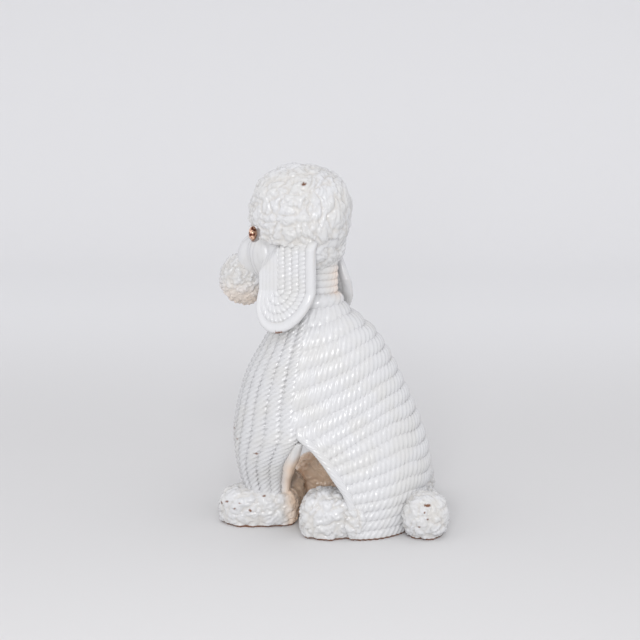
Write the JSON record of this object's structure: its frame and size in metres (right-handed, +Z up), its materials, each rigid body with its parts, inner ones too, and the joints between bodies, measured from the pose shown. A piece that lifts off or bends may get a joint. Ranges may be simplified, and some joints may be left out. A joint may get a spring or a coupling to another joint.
{
  "type": "ceramic dog figurine",
  "caption": "Free-standing seated poodle statuette in white glazed earthenware, its coat laid in twisted clay ropes, with curly pompoms and copper-lustre eyes; a mantel or floor ornament",
  "frame": {"origin": "middle of the footprint on the surface it stands on", "axes": "+Z up, the dog faces -Y, its left side is +X"},
  "size_m": [0.192, 0.2742, 0.429],
  "materials": {
    "white_glaze": "glossy white glaze over red earthenware, crazed and chipped on high points",
    "eye_lustre": "copper lustre over glaze"
  },
  "bodies": {
    "root": {"left_eye": "eye_lustre", "right_eye": "eye_lustre", "head_core": "white_glaze", "muzzle_pompom": "white_glaze", "nose": "white_glaze", "topknot": "white_glaze", "left_ear": "white_glaze", "left_ear_rim": "white_glaze", "right_ear": "white_glaze", "right_ear_rim": "white_glaze", "left_front_paw": "white_glaze", "left_hind_paw": "white_glaze", "left_heel_pompom": "white_glaze", "right_front_paw": "white_glaze", "right_hind_paw": "white_glaze", "right_heel_pompom": "white_glaze", "tail_pompom": "white_glaze", "back_rope_01": "white_glaze", "back_rope_02": "white_glaze", "back_rope_03": "white_glaze", "back_rope_04": "white_glaze", "back_rope_05": "white_glaze", "back_rope_06": "white_glaze", "back_rope_07": "white_glaze", "back_rope_08": "white_glaze", "back_rope_09": "white_glaze", "back_rope_10": "white_glaze", "back_rope_11": "white_glaze", "back_rope_12": "white_glaze", "back_rope_13": "white_glaze", "back_rope_14": "white_glaze", "left_leg_rope_1": "white_glaze", "left_leg_rope_2": "white_glaze", "left_leg_rope_3": "white_glaze", "left_leg_rope_4": "white_glaze", "right_leg_rope_1": "white_glaze", "right_leg_rope_2": "white_glaze", "right_leg_rope_3": "white_glaze", "right_leg_rope_4": "white_glaze", "left_chest_rope_1": "white_glaze", "left_chest_rope_2": "white_glaze", "left_chest_rope_3": "white_glaze", "left_chest_rope_4": "white_glaze", "left_chest_rope_5": "white_glaze", "left_chest_rope_6": "white_glaze", "right_chest_rope_1": "white_glaze", "right_chest_rope_2": "white_glaze", "right_chest_rope_3": "white_glaze", "right_chest_rope_4": "white_glaze", "right_chest_rope_5": "white_glaze", "right_chest_rope_6": "white_glaze", "left_body_slab": "white_glaze", "right_body_slab": "white_glaze", "left_chest_slab": "white_glaze", "right_chest_slab": "white_glaze", "belly_slab": "white_glaze", "left_foreleg": "white_glaze", "right_foreleg": "white_glaze", "neck_core": "white_glaze", "neck_rope": "white_glaze"}
  },
  "joints": []
}
